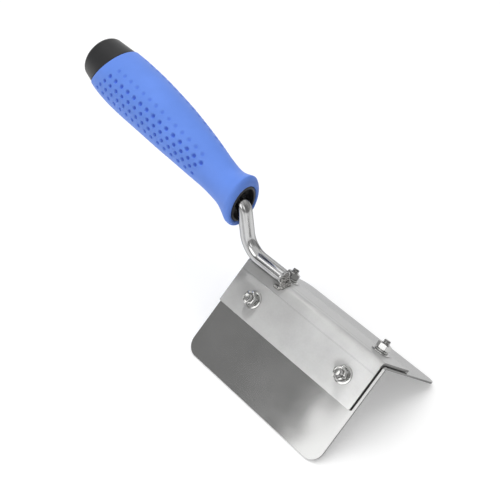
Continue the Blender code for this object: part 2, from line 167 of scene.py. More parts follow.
def bevelled(mesh, width):
    """The mesh with its sharp edges rounded."""
    holder = shown("holder", mesh)
    rounding = holder.modifiers.new("rounding", "BEVEL")
    rounding.width = width
    rounding.segments = 2
    rounding.limit_method = "ANGLE"
    rounding.angle_limit = math.radians(40)
    return taken_mesh(holder)


# ---- materials ----


class Nodes:
    """Short way to write a node tree."""

    def __init__(self, name):
        self.material = bpy.data.materials.new(name)
        self.material.use_nodes = True
        self.tree = self.material.node_tree
        self.shader = self.tree.nodes["Principled BSDF"]
        self.coordinates = self.add("ShaderNodeTexCoord").outputs["Object"]

    def add(self, kind, **settings):
        node = self.tree.nodes.new(kind)
        for key, value in settings.items():
            setattr(node, key, value)
        return node

    def link(self, start, end):
        self.tree.links.new(start, end)

    def noise(self, scale, detail=2.0, stretch=(1, 1, 1), roughness=0.5):
        mapping = self.add("ShaderNodeMapping")
        mapping.inputs["Scale"].default_value = stretch
        self.link(self.coordinates, mapping.inputs["Vector"])
        node = self.add("ShaderNodeTexNoise")
        node.inputs["Scale"].default_value = scale
        node.inputs["Detail"].default_value = detail
        node.inputs["Roughness"].default_value = roughness
        self.link(mapping.outputs["Vector"], node.inputs["Vector"])
        return node.outputs["Fac"]

    def speckle(self, scale):
        node = self.add("ShaderNodeTexVoronoi")
        node.inputs["Scale"].default_value = scale
        self.link(self.coordinates, node.inputs["Vector"])
        return node.outputs["Distance"]

    def spread(self, value, out_low, out_high, low=0.3, high=0.7):
        """Map a value from low..high, by default the usual range of a noise, to out_low..out_high."""
        node = self.add("ShaderNodeMapRange")
        for key, number in zip(("From Min", "From Max", "To Min", "To Max"), (low, high, out_low, out_high)):
            node.inputs[key].default_value = number
        self.link(value, node.inputs["Value"])
        return node.outputs["Result"]

    def sum(self, *values):
        total = values[0]
        for value in values[1:]:
            node = self.add("ShaderNodeMath", operation="ADD")
            self.link(total, node.inputs[0])
            self.link(value, node.inputs[1])
            total = node.outputs[0]
        return total

    def ramp(self, value, *stops):
        node = self.add("ShaderNodeValToRGB")
        elements = node.color_ramp.elements
        while len(elements) < len(stops):
            elements.new(0.5)
        for element, (position, colour) in zip(elements, stops):
            element.position = position
            element.color = (*colour, 1)
        self.link(value, node.inputs["Fac"])
        return node.outputs["Color"]

    def bump(self, *layers):
        """Stack bumps. Each layer has a height, its depth in metres and a strength."""
        normal = None
        for height, depth, strength in layers:
            node = self.add("ShaderNodeBump")
            node.inputs["Distance"].default_value = depth
            node.inputs["Strength"].default_value = strength
            self.link(height, node.inputs["Height"])
            if normal is not None:
                self.link(normal, node.inputs["Normal"])
            normal = node.outputs["Normal"]
        self.link(normal, self.shader.inputs["Normal"])

    def finish(self, colour, roughness):
        self.link(colour, self.shader.inputs["Base Color"])
        self.link(roughness, self.shader.inputs["Roughness"])
        return self.material


def steel(name, dark, light, roughness, spread, waviness, grain, metallic=1.0, streaky=1.0, die_lines_and_painted_streaks=False):
    """Bare metal with soft clouds, a slight waviness and streaks, along the ridge or along a bar as die lines
    and painted reflection streaks.

    The roughness varies by the spread. Waviness and grain are the depths in metres of the waves and streaks.
    """
    n = Nodes(name)
    n.shader.inputs["Metallic"].default_value = metallic
    n.shader.inputs["Specular Tint"].default_value = (0.7, 0.7, 0.7, 1)
    clouds = n.noise(42, 3.0, roughness=0.55)
    # on a bar: lines round it, real die lines made dark and strong enough to be painted reflection streaks
    if die_lines_and_painted_streaks:
        around = n.add("ShaderNodeAttribute", attribute_name="round")
        lines = n.add("ShaderNodeTexNoise")
        lines.inputs["Scale"].default_value = 3.4
        lines.inputs["Detail"].default_value = 2.0
        lines.inputs["Roughness"].default_value = 0.6
        n.link(around.outputs["Vector"], lines.inputs["Vector"])
        streaks = n.spread(lines.outputs["Fac"], 0.3, 0.7, low=0.40, high=0.60)
    else:
        streaks = n.noise(1, 3.0, stretch=(45, 2600, 2600), roughness=0.6)
    waves = n.noise(26, 1.0)
    specks = n.noise(900, 2.0)
    mixed = n.sum(
        n.spread(clouds, 0.0, 0.6),
        n.spread(streaks, 0.0, 0.25 * streaky),
        n.spread(specks, 0.0, 0.15, low=0.2, high=0.8),
    )
    colour = n.ramp(mixed, (0.0, dark), (1.0, light))
    rough = n.sum(
        n.spread(clouds, roughness - spread, roughness + spread),
        n.spread(streaks, -spread * streaky, spread * streaky),
        n.spread(specks, -0.15 * spread, 0.15 * spread, low=0.2, high=0.8),
    )
    n.bump((waves, waviness, 1.0), (streaks, grain, 0.35 * streaky))
    return n.finish(colour, rough)


def moulded(name, dark, light, roughness, spread, grain_scale, grain_depth, specular, dimple_shade=None):
    """Moulded rubber or plastic with a fine spark-eroded grain. Pressed places can take a painted shade."""
    n = Nodes(name)
    n.shader.inputs["Specular IOR Level"].default_value = specular
    clouds = n.noise(55, 3.0)
    grain = n.noise(grain_scale, 2.0, roughness=0.6)
    pits = n.speckle(grain_scale * 0.6)
    mottle = n.sum(n.spread(clouds, 0.0, 0.7), n.spread(grain, 0.0, 0.3))
    colour = n.ramp(mottle, (0.0, dark), (1.0, light))
    rough = n.sum(n.spread(clouds, roughness - spread, roughness + spread), n.spread(grain, -spread, spread))
    # painted shade: pressed places darken towards this colour by the pressed attribute, standing in for the
    # shade in the dimples
    if dimple_shade:
        pressed = n.add("ShaderNodeAttribute", attribute_name="pressed")
        mixed = n.add("ShaderNodeMix", data_type="RGBA")
        factor, first, second = (mixed.inputs[i] for i in (0, 6, 7))
        n.link(pressed.outputs["Fac"], factor)
        n.link(colour, first)
        second.default_value = (*dimple_shade, 1)
        colour = mixed.outputs[2]
    n.bump((pits, grain_depth, 0.5), (grain, grain_depth, 0.6))
    return n.finish(colour, rough)


def grey(level, blue=None):
    """A neutral colour, or a slightly tinted one if its blue is given."""
    return level, level, level if blue is None else blue


BLADE_STEEL = steel(
    "blade_steel", grey(0.40, 0.395), grey(0.46, 0.455),
    roughness=0.14, spread=0.02, waviness=0.00060, grain=0.000004, streaky=0.2,
)
BRACKET_STEEL = steel(
    "bracket_steel", grey(0.28, 0.277), grey(0.395, 0.391),
    roughness=0.34, spread=0.035, waviness=0.00012, grain=0.000006, metallic=0.5, streaky=0.15,
)
MARK_STEEL = steel(
    "mark_steel", grey(0.22, 0.218), grey(0.34, 0.337),
    roughness=0.36, spread=0.035, waviness=0.00012, grain=0.000006, metallic=0.5, streaky=0.15,
)
CUT_STEEL = steel(
    "cut_steel", grey(0.16), grey(0.34, 0.335),
    roughness=0.40, spread=0.06, waviness=0.00002, grain=0.00002,
)
# painted shade: near-black steel for the lower part of the bracket's -Y front edge, standing for the shade of
# the gap to the blade
GAP_SHADE_STEEL = steel(
    "gap_shade_steel", grey(0.018), grey(0.05),
    roughness=0.50, spread=0.06, waviness=0.00002, grain=0.00002,
)
# painted shade and painted reflection: dark steel for the nuts' and washers' bores and the studs' tip
# chamfers
PAINTED_DARK_STEEL = steel(
    "painted_dark_steel", grey(0.07), grey(0.16, 0.155),
    roughness=0.34, spread=0.05, waviness=0.00001, grain=0.000004,
)
FASTENER_STEEL = steel(
    "fastener_steel", grey(0.43, 0.42), grey(0.56, 0.55),
    roughness=0.14, spread=0.03, waviness=0.00001, grain=0.000003,
)
# the rod's strong streaks are die lines made into painted reflection streaks
ROD_STEEL = steel(
    "rod_steel", grey(0.11), grey(0.56),
    roughness=0.15, spread=0.015, waviness=0.00002, grain=0.000002, streaky=2.6, die_lines_and_painted_streaks=True,
)
WELD_METAL = steel(
    "weld_metal", (0.14, 0.138, 0.134), (0.56, 0.55, 0.53),
    roughness=0.17, spread=0.06, waviness=0.00016, grain=0.000010,
)
BLUE_RUBBER = moulded(
    "blue_rubber", (0.104, 0.212, 0.620), (0.122, 0.242, 0.700),
    roughness=0.50, spread=0.03, grain_scale=2600, grain_depth=0.00004, specular=0.25,
    # colour of the painted shade in the dimples
    dimple_shade=(0.010, 0.045, 0.44),
)
BLACK_PLASTIC = moulded(
    "black_plastic", grey(0.012, 0.013), grey(0.019, 0.020),
    roughness=0.42, spread=0.04, grain_scale=2200, grain_depth=0.00003, specular=0.4,
)

# ---- blade and bracket ----

BLADE_LENGTH = 102.0
BLADE_LEAF = 59.0
BLADE_SHEET = 1.0
BLADE_CORNER = 7.5
BRACKET_LENGTH = 100.0
BRACKET_LEAF = 27.2
BRACKET_SHEET = 1.3
BRACKET_CORNER = 0.8
GAP = 0.3  # between the blade and the bracket
BRACKET_TOP = GAP + BRACKET_SHEET
BRACKET_FOLD_RADIUS = BLADE_FOLD_RADIUS + BRACKET_TOP
STUD_X = (18.0, 86.5)
STUD_DOWN = 15.6  # from the ridge line down the leaf
HOLE_RADIUS = 3.0
EDGE_SHADE_SPLIT = 0.45  # upper share of a cut edge's thickness that keeps the sheet's finish; below it the bracket's -Y front edge has a painted shade of the gap
PRESS_MARK = 6.0  # how far down the leaf the press brake left its mark
# the mark's groove: distance aside, depth
GROOVE = ((-0.32, 0.0), (-0.13, 0.05), (0.0, 0.07), (0.13, 0.05), (0.32, 0.0))
FOLD_STEPS = 12
CORNER_STEPS = 16


def fold_point(across, depth, top, radius):
    """Place a flat sheet's point on the folded sheet, depth under its outer face."""
    side = 1 if across >= 0 else -1
    turn = math.pi / 2 - HALF_FOLD
    apex = (top - radius) / math.sin(HALF_FOLD)
    angle = min(abs(across) / radius, turn)
    reach = radius - depth
    beyond = max(abs(across) - radius * turn, 0.0)
    y = reach * math.sin(angle) + beyond * math.sin(HALF_FOLD)
    z = apex + reach * math.cos(angle) - beyond * math.cos(HALF_FOLD)
    return side * y, z


def folded_sheet(name, end, leaf, thickness, top, radius, corner, mark=None):
    """A sheet folded on the ridge with rounded corners, built from rows parallel to the ridge.

    A mark is a shallow groove along each leaf, that far down from the line where its faces would meet.
    """
    turn = math.pi / 2 - HALF_FOLD
    edge = (radius - top) / math.tan(HALF_FOLD) - radius * turn
    width = leaf - edge
    rows = [(radius * turn * i / FOLD_STEPS, 0.0) for i in range(FOLD_STEPS + 1)]
    rows.append((radius * turn + 0.25, 0.0))  # keeps the shading of the fold off the flat leaf
    pressed = {}
    if mark:
        for aside, depth in GROOVE:
            rows.append((mark - edge + aside, 0.0))
            pressed[len(rows) - 1] = depth
    for i in range(CORNER_STEPS + 1):
        angle = math.pi / 2 * i / CORNER_STEPS
        rows.append((width - corner + corner * math.sin(angle), corner * (1 - math.cos(angle))))
    rows = [(across, trim, pressed.get(i, 0.0)) for i, (across, trim) in enumerate(rows)]
    rows = [(-across, trim, sunk) for across, trim, sunk in reversed(rows[1:])] + rows
    builder = bmesh.new()
    loops = []
    # a row across each cut edge, where the bracket's painted edge shade begins
    middle = EDGE_SHADE_SPLIT * thickness
    for across, trim, sunk in rows:
        front = [(end - trim, depth) for depth in (sunk, middle, thickness)]
        rear = [(trim, depth) for depth in (thickness, middle)]
        around = [(trim, sunk)] + front + rear
        loops.append([builder.verts.new((x, *fold_point(across, depth, top, radius))) for x, depth in around])
    for near, far in zip(loops, loops[1:]):
        for i in range(len(near)):
            j = (i + 1) % len(near)
            builder.faces.new((near[i], near[j], far[j], far[i]))
    builder.faces.new(loops[0])
    builder.faces.new(loops[-1])
    return to_mesh(name, builder)


def leaf_matrix(side, x, down):
    """Frame on a leaf's outer face: Z out of the leaf, X along the ridge."""
    out = Vector((0, side * math.cos(HALF_FOLD), math.sin(HALF_FOLD)))
    slope = Vector((0, side * math.sin(HALF_FOLD), -math.cos(HALF_FOLD)))
    ridge = Vector((1, 0, 0))
    place = Matrix((ridge, out.cross(ridge), out)).transposed().to_4x4()
    place.translation = ridge * x + slope * down
    return place


STUD_PLACES = [
    (f"{end_name}_{side_name}", leaf_matrix(side, x, STUD_DOWN))
    for side, side_name in ((-1, "right"), (1, "left"))
    for x, end_name in zip(STUD_X, ("rear", "front"))
]


def with_stud_holes(mesh):
    cutter_builder = bmesh.new()
    for _, place in STUD_PLACES:
        bmesh.ops.create_cone(
            cutter_builder, cap_ends=True, segments=48,
            radius1=HOLE_RADIUS, radius2=HOLE_RADIUS, depth=8, matrix=place,
        )
    cutter = shown("cutter", to_mesh("cutter", cutter_builder))
    holder = shown("bracket_holder", mesh)
    holes = holder.modifiers.new("stud_holes", "BOOLEAN")
    holes.operation = "DIFFERENCE"
    holes.object = cutter
    cut = taken_mesh(holder)
    bpy.data.objects.remove(cutter)
    return cut


def cut_edges(made, cut, rough=None, mark=None):
    """Give a sheet's cut edges their own finish.

    The front edge of the -Y leaf can have a painted shade of the gap in its lower part, and the groove of a
    press mark can have a finish too.
    """
    finishes = [finish for finish in (cut, rough, mark) if finish]
    for finish in finishes:
        made.data.materials.append(finish)
    sheet_slot, cut_slot, gap_shade_slot, mark_slot = range(4)
    for face in made.data.polygons:
        along = face.normal.x
        middle = Vector(face.center) * 1000 - ORIGIN
        out = Vector((0, math.copysign(math.cos(HALF_FOLD), middle.y), math.sin(HALF_FOLD)))
        outwards = face.normal.dot(out)
        off_ridge = abs(middle.y)
        at_end = abs(along) > 0.8
        on_leaf_edge = abs(outwards) < 0.2 and off_ridge > 5
        in_groove = 5 < off_ridge < 6 and 0.5 < outwards < 0.98
        if at_end or on_leaf_edge:
            face.material_index = cut_slot
            # painted shade: the -Y leaf's front edge below the split goes near black, for the gap to the
            # blade lying in shade
            if rough and at_end and along > 0 and middle.y < -2:
                shade_from = BRACKET_TOP - EDGE_SHADE_SPLIT * BRACKET_SHEET
                face.material_index = gap_shade_slot if middle.dot(out) < shade_from else sheet_slot
        elif mark and in_groove:
            face.material_index = mark_slot


blade_mesh = folded_sheet(
    "blade_sheet", BLADE_LENGTH, BLADE_LEAF, BLADE_SHEET, 0.0, BLADE_FOLD_RADIUS, BLADE_CORNER
)
blade = piece("blade_sheet", bevelled(blade_mesh, 0.1), BLADE_STEEL, "brushed_stainless", "blade", sharp=12)
bracket_mesh = folded_sheet(
    "bracket_sheet", BRACKET_LENGTH, BRACKET_LEAF, BRACKET_SHEET, BRACKET_TOP, BRACKET_FOLD_RADIUS,
    BRACKET_CORNER, mark=PRESS_MARK,
)
bracket_mesh = bevelled(with_stud_holes(bracket_mesh), 0.15)
bracket = piece(
    "bracket_sheet", bracket_mesh, BRACKET_STEEL, "bracket_stainless", "backing_bracket", sharp=12
)
cut_edges(blade, CUT_STEEL)
# the rough finish here is a painted shade of the gap under the bracket's -Y front edge
cut_edges(bracket, CUT_STEEL, rough=GAP_SHADE_STEEL, mark=MARK_STEEL)

# ---- fasteners, built about Z with Z = 0 on the blade's outer face ----

PITCH = 0.7
STUD_TIP = 8.8
WASHER_LOW = BRACKET_TOP + 0.01
SPRING_LOW = WASHER_LOW + 0.8
NUT_LOW = SPRING_LOW + 1.05
NUT_HIGH = 6.7
THREAD_CREST = 2.0
THREAD_ROOT = 1.57
BORE_REACH = 2.28  # a nut's or washer's faces nearer its axis than this are rougher and painted dark, a painted shade in the bore
TIP_CHAMFER = (0.45, 0.08)  # the stud's chamfer, rougher and painted dark as a painted dark reflection: from and to, below the tip


def thread_radius(turn, height):
    """Radius of an M4 thread with flat crests and roots."""
    half_root, flank_run = 0.07, 0.33  # shares of the pitch
    phase = (height / PITCH - turn / (2 * math.pi)) % 1.0
    flank = min(max((abs(phase - 0.5) - half_root) / flank_run, 0.0), 1.0)
    return THREAD_ROOT + (THREAD_CREST - THREAD_ROOT) * flank


def stud_mesh():
    """Weld stud: flange, plain foot, thread and a chamfered, slightly crowned tip."""
    sides = 32
    flange = ((2.6, GAP), (2.6, GAP + 0.5), (THREAD_CREST, GAP + 0.5))
    foot = ((THREAD_CREST, 1.2), (1.6, 1.3))
    rings = turned(flange + foot, sides)
    first = 1.4
    steps = 88
    for i in range(steps + 1):
        height = first + (STUD_TIP - first) * i / steps
        ring = []
        for k in range(sides):
            t = 2 * math.pi * k / sides
            chamfer = 1.5 + (STUD_TIP - height) * 0.9
            radius = min(thread_radius(t, height), chamfer)
            ring.append(Vector((radius * math.cos(t), radius * math.sin(t), height)))
        rings.append(ring)
    rings += turned(((0.8, STUD_TIP + 0.03), (0.3, STUD_TIP + 0.05)), sides)
    return loft("stud", rings, closed=False)


def flat_washer_mesh():
    low, high = WASHER_LOW, WASHER_LOW + 0.79
    inner, outer, edge = 2.15, 5.0, 0.14
    profile = (
        (inner, low + edge),
        (inner + edge, low),
        (outer - edge, low),
        (outer, low + edge),
        (outer, high - 1.6 * edge),
        (outer - 0.5 * edge, high - 0.5 * edge),
        (outer - 1.6 * edge, high),
        (inner + edge, high),
        (inner, high - edge),
    )
    return loft("washer", turned(profile, 64), closed=True)


def spring_washer_mesh():
    """A split ring, nearly flat under the nut, with its ends cut on the slant."""
    steps = 72
    slit = math.radians(13)
    lean = math.radians(14)
    height, inner, outer, edge = 0.92, 2.15, 3.8, 0.12
    rings = []
    for i in range(steps + 1):
        share = i / steps
        turn = slit / 2 + (2 * math.pi - slit) * share
        lift = SPRING_LOW + 0.02 + 0.09 * share
        ring = []
        for radius, up in (
            (inner + edge, 0), (outer - edge, 0), (outer, edge), (outer, height - edge),
            (outer - edge, height), (inner + edge, height), (inner, height - edge), (inner, edge),
        ):
            angle = turn + lean * (up / height - 0.5)
            ring.append(Vector((radius * math.cos(angle), radius * math.sin(angle), lift + up)))
        rings.append(ring)
    return loft("spring", rings, closed=False)


def nut_mesh():
    """Hexagon nut with both faces chamfered at 30 degrees, rounded corners and a countersunk bore."""
    sides = 120
    flats = 3.5
    face = 0.95 * flats
    corner_from = 3.96  # radius at which the corners start to be rounded
    tangent = math.tan(math.radians(30))
    hexagon_points = []
    for i in range(sides):
        turn = 2 * math.pi * i / sides
        from_flat = (turn + math.pi / 6) % (math.pi / 3) - math.pi / 6
        radius = flats / math.cos(from_flat)
        if radius > corner_from:
            radius = min(radius, corner_from + 0.25 * (radius - corner_from))
        hexagon_points.append((turn, radius))

    def circle(radius, height):
        return [Vector((radius * math.cos(t), radius * math.sin(t), height)) for t, _ in hexagon_points]

    def hexagon(height, direction, shrink=0.0, extra=0.0):
        return [
            Vector((
                (r - shrink) * math.cos(t),
                (r - shrink) * math.sin(t),
                height - direction * ((r - face) * tangent + extra),
            ))
            for t, r in hexagon_points
        ]

    low, high = NUT_LOW, NUT_HIGH
    rings = [
        circle(1.75, low + 0.5),
        circle(2.2, low + 0.02),
        circle(2.3, low),
        circle(face - 0.05, low),
        hexagon(low, -1, 0.05, -0.03),
        hexagon(low, -1, 0.0, 0.06),
        hexagon(high, 1, 0.0, 0.06),
        hexagon(high, 1, 0.05, -0.03),
        circle(face - 0.05, high),
        circle(2.3, high),
        circle(2.2, high - 0.03),
        circle(1.75, high - 0.5),
    ]
    return loft("nut", rings, closed=True)


# how far each stack is turned about its stud, in degrees
STACK_TURNS = {"rear_right": 17, "front_right": 42, "rear_left": -11, "front_left": 14}
# kind, mesh, the angle from which edges are sharp, and how far this kind is turned in its stack
FASTENERS = (
    ("weld_stud", stud_mesh, 40, 279),
    ("flat_washer", flat_washer_mesh, 40, 341),
    ("spring_washer", spring_washer_mesh, 40, 43),
    ("hex_nut", nut_mesh, 25, 217),
)

for kind, make, sharp, kind_turn in FASTENERS:
    for where, place in STUD_PLACES:
        mesh = make()
        # faces painted dark: the bores' painted shade and the tip chamfer's painted dark reflection
        takes_painted_dark = []
        for face in mesh.polygons:
            x, y, z = face.center
            if kind == "weld_stud":
                takes_painted_dark.append(STUD_TIP - TIP_CHAMFER[0] < z < STUD_TIP - TIP_CHAMFER[1])
            else:
                takes_painted_dark.append(math.hypot(x, y) < BORE_REACH)
        mesh.transform(place @ Matrix.Rotation(math.radians(STACK_TURNS[where] + kind_turn), 4, "Z"))
        node = f"{kind}_{where}"
        made = piece(f"{node}_fine", mesh, FASTENER_STEEL, "fastener_steel", node, sharp=sharp)
        made.data.materials.append(PAINTED_DARK_STEEL)
        for face, is_painted_dark in zip(made.data.polygons, takes_painted_dark):
            face.material_index = int(is_painted_dark)

# ---- handle shape ----

HANDLE_FRONT = Vector((-6.8, 0.0, 32.6))
HANDLE_RISE = math.radians(11.6)
HANDLE_LENGTH = 131.6
FRONT_LEAN = math.radians(12)
FRONT_BLEND = 14.0
GRIP_WALL = 3.2
CORE_WALL = 1.8
SEAM_MEAN = 119.0
SEAM_LEAN = 7.2
SHOULDER = 107.0
SEAM_STEP = 0.5
COLLAR = (7.8, 12.6)
# outline sections: distance along the chord, lift over it, half width, half height
SECTIONS = (
    (0.0, -0.4, 11.0, 17.4),
    (3.0, 0.9, 11.0, 17.5),
    (7.0, 1.5, 10.4, 14.6),
    (11.0, 1.7, 9.9, 12.4),
    (16.0, 1.9, 9.8, 11.8),
    (24.0, 2.6, 10.3, 12.2),
    (36.0, 3.3, 11.7, 13.6),
    (48.0, 3.7, 13.0, 14.6),
    (60.0, 3.8, 14.1, 15.6),
    (72.0, 3.6, 14.8, 16.3),
    (84.0, 3.2, 15.4, 16.8),
    (96.0, 2.4, 15.8, 17.1),
    (108.0, 1.7, 15.8, 16.9),
    (117.0, 1.5, 15.3, 16.1),
    (124.0, 1.8, 14.4, 15.0),
    (131.6, 2.2, 13.2, 13.7),
)
# the flange's rounded lip: distance from the front, share of the way from the collar to the outline
LIP = ((1.4, 0.0), (0.5, 0.03), (0.1, 0.14), (0.0, 0.3), (0.2, 0.5), (0.7, 0.7), (1.5, 0.88), (3.0, 1.0))


def hermite(rows, s, column):
    """Smooth curve through a column of rows that start with their distances."""
    s = min(max(s, rows[0][0]), rows[-1][0])
    k = 0
    while s > rows[k + 1][0]:
        k += 1
    run = rows[k + 1][0] - rows[k][0]
    t = (s - rows[k][0]) / run

    def slope(i):
        low, high = rows[max(i - 1, 0)], rows[min(i + 1, len(rows) - 1)]
        return (high[column] - low[column]) / (high[0] - low[0])

    return (
        (2 * t**3 - 3 * t**2 + 1) * rows[k][column]
        + (t**3 - 2 * t**2 + t) * run * slope(k)
        + (3 * t**2 - 2 * t**3) * rows[k + 1][column]
        + (t**3 - t**2) * run * slope(k + 1)
    )


def outline(s, inset=0.0):
    return s, hermite(SECTIONS, s, 2) - inset, hermite(SECTIONS, s, 3) - inset


def core_outline(s, inset=0.0):
    blend = smooth_step(s, 2.4, 9.0)
    _, width, height = outline(s, GRIP_WALL)
    width = COLLAR[0] * (1 - blend) + width * blend
    height = COLLAR[1] * (1 - blend) + height * blend
    return s, width - inset, height - inset


def rising(angle):
    return Vector((-math.cos(angle), 0, math.sin(angle)))


# the rod's straight end in the handle
ROD_RADIUS = 4.0
TANG_FRONT = Vector((-6.9, 0.0, 32.0))
TANG_RISE = math.radians(15.5)
TANG_LENGTH = 46.0


def tang_line(s):
    return TANG_FRONT + rising(TANG_RISE) * s


def centre_line(s):
    chord_up = Vector((math.sin(HANDLE_RISE), 0, math.cos(HANDLE_RISE)))
    return HANDLE_FRONT + rising(HANDLE_RISE) * s + chord_up * hermite(SECTIONS, s, 1)


def section_up(s):
    run = centre_line(s + 2) - centre_line(s - 2)
    blend = smooth_step(s, 0.0, FRONT_BLEND)
    lean = math.atan2(run.z, -run.x) * blend + FRONT_LEAN * (1 - blend)
    return Vector((math.sin(lean), 0, math.cos(lean)))


def seam(turn):
    return SEAM_MEAN - SEAM_LEAN * math.cos(turn)


def under_seam(turn, share, clearance):
    return core_outline(SHOULDER + (seam(turn) - SHOULDER) * share, -clearance)


def remembered(function):
    """The function of a distance with its results kept, so each distance is worked out once."""
    known = {}

    def wrapped(s):
        key = round(s, 4)
        if key not in known:
            known[key] = function(s)
        return known[key]

    return wrapped


line_at = remembered(centre_line)
up_at = remembered(section_up)
SIDE = Vector((0, -1, 0))


def handle_ring(station, turns, line=None):
    """One ring. The station gives distance, half width and half height for a turn from the top."""
    ring = []
    for turn in turns:
        s, width, height = station(turn)
        centre = line(s) if line else line_at(s)
        ring.append(centre + height * math.cos(turn) * up_at(s) + width * math.sin(turn) * SIDE)
    return ring


EVEN_TURNS = [2 * math.pi * i / 96 for i in range(96)]

# ---- grip with its rows of dimples ----

DIMPLE_STEP = 5.47
DIMPLE_SPAN = (26, 117)
RIM_REACH = 1.5  # a low rim surrounds each dimple, out to this many of its radii
RIM_RISE = 0.10
DIMPLE_SHADE_PER_DEPTH = 0.9  # how fast a dimple takes on its painted shade with its depth
# the most painted shade a dimple takes
DIMPLE_SHADE_MOST = 0.62
# each row: turn from the top in degrees, first distance, count, radius, depth
DIMPLE_ROWS = (
    (35, 30.8, 14, 1.35, 0.32),
    (54, 28.5, 15, 1.40, 0.85),
    (69, 30.8, 15, 1.25, 0.95),
    (83, 33.6, 15, 1.20, 1.05),
    (97, 30.8, 16, 1.20, 1.10),
)


def dimple_depth(s, turn):
    """How far the surface is pressed in. The rows are the same on both sides."""
    from_top = abs((turn + math.pi) % (2 * math.pi) - math.pi)
    if not DIMPLE_SPAN[0] <= s <= DIMPLE_SPAN[1]:
        return 0.0
    _, width, height = outline(s)
    reach = math.hypot(width * math.cos(turn), height * math.sin(turn))
    pressed = 0.0
    for degrees, first, count, radius, depth in DIMPLE_ROWS:
        across = (from_top - math.radians(degrees)) * reach
        if abs(across) > radius * RIM_REACH:
            continue
        k = min(max(round((s - first) / DIMPLE_STEP), 0), count - 1)
        along = s - first - k * DIMPLE_STEP
        away = math.hypot(across, along) / radius
        if away < 1.0:
            pressed += depth * (1 - away**3) ** 1.2
        elif away < RIM_REACH:
            pressed -= RIM_RISE * math.sin((away - 1) * 2 * math.pi)
    return pressed


def grip_turns():
    """Turns round the grip, close together where the dimples are."""
    turns = []
    degrees = 0.0
    while degrees < 180:
        turns.append(degrees)
        degrees += 1.25 if 28 < degrees < 104 else 3.0
    return [math.radians(d) for d in turns + [180.0] + [360 - d for d in reversed(turns[1:])]]


def grip_mesh():
    edge = 0.9
    turns = grip_turns()
    _, flange_width, flange_height = outline(LIP[-1][0])
    inner_width, inner_height = COLLAR[0] + 0.1, COLLAR[1] + 0.1
    lip_rows = [(i, distance, share) for i, (distance, share) in enumerate(LIP)]
    lip_steps = 4 * (len(LIP) - 1)
    rings = []
    for i in range(lip_steps + 1):
        place = i / 4
        distance = hermite(lip_rows, place, 1)
        share = hermite(lip_rows, place, 2)
        width = inner_width + (flange_width - inner_width) * share
        height = inner_height + (flange_height - inner_height) * share
        rings.append(handle_ring(lambda turn, lip=(distance, width, height): lip, turns))
    lip_points = len(rings) * len(turns)
    # painted shade for each point of the pressed rings, from the dimples' depth
    dimple_shades = []

    def pressed_ring(distance):
        """A ring on the outer face, moved inwards along the oval's normal where there are dimples."""
        ring = []
        for turn in turns:
            s, width, height = outline(distance(turn))
            depth = dimple_depth(s, turn)
            y, z = width * math.sin(turn), height * math.cos(turn)
            if depth:
                across, up = math.sin(turn) / width, math.cos(turn) / height
                size = math.hypot(across, up)
                y -= depth * across / size
                z -= depth * up / size
            # painted shade: the deeper the dimple, the darker its colour
            dimple_shades.append(min(max(DIMPLE_SHADE_PER_DEPTH * depth, 0.0), DIMPLE_SHADE_MOST))
            ring.append(line_at(s) + z * up_at(s) + y * SIDE)
        return ring

    # square to the grip from the flange on, closer together among the dimples
    square = [3.6, 4.3, 5.0, 5.8, 6.6, 7.5, 8.5, 9.6, 10.8, 12.2, 14.0, 16.0, 18.0, 20.0, 22.0, 24.0]
    s = 25.5
    square_end = 98.0
    close_step = 0.36
    while s < square_end:
        square.append(s)
        s += close_step
    for s in square:
        rings.append(pressed_ring(lambda turn, s=s: s))
    # then leaning over gradually to follow the seam
    rear_steps = 60
    for i in range(rear_steps + 1):
        rings.append(pressed_ring(
            lambda turn, share=i / rear_steps: square_end + (seam(turn) - edge - square_end) * share
        ))
    edge_steps = 6
    for i in range(1, edge_steps + 1):
        angle = math.pi / 2 * i / edge_steps
        back = edge * (1 - math.sin(angle))
        inset = 0.9 * edge * (1 - math.cos(angle))
        rings.append(handle_ring(lambda turn, b=back, n=inset: outline(seam(turn) - b, n), turns))
    rings.append(handle_ring(lambda turn: core_outline(seam(turn), -0.15), turns))
    rings.append(handle_ring(lambda turn: under_seam(turn, 0.5, 0.15), turns))
    for s in (SHOULDER, 94.0, 80.0, 62.0, 46.0, 32.0, 22.0, 14.0, 9.0, 6.0, 4.0, 2.4):
        rings.append(handle_ring(lambda turn, s=s: core_outline(s, -0.1), turns))
    mesh = loft("grip", rings, closed=True)
    # the pressed attribute carries the dimples' painted shade to the material
    values = mesh.attributes.new("pressed", "FLOAT", "POINT").data
    for i, dimple_shade in enumerate(dimple_shades):
        values[lip_points + i].value = dimple_shade
    return mesh


piece("grip_moulding", grip_mesh(), BLUE_RUBBER, "blue_rubber", "grip_sleeve", sharp=50)


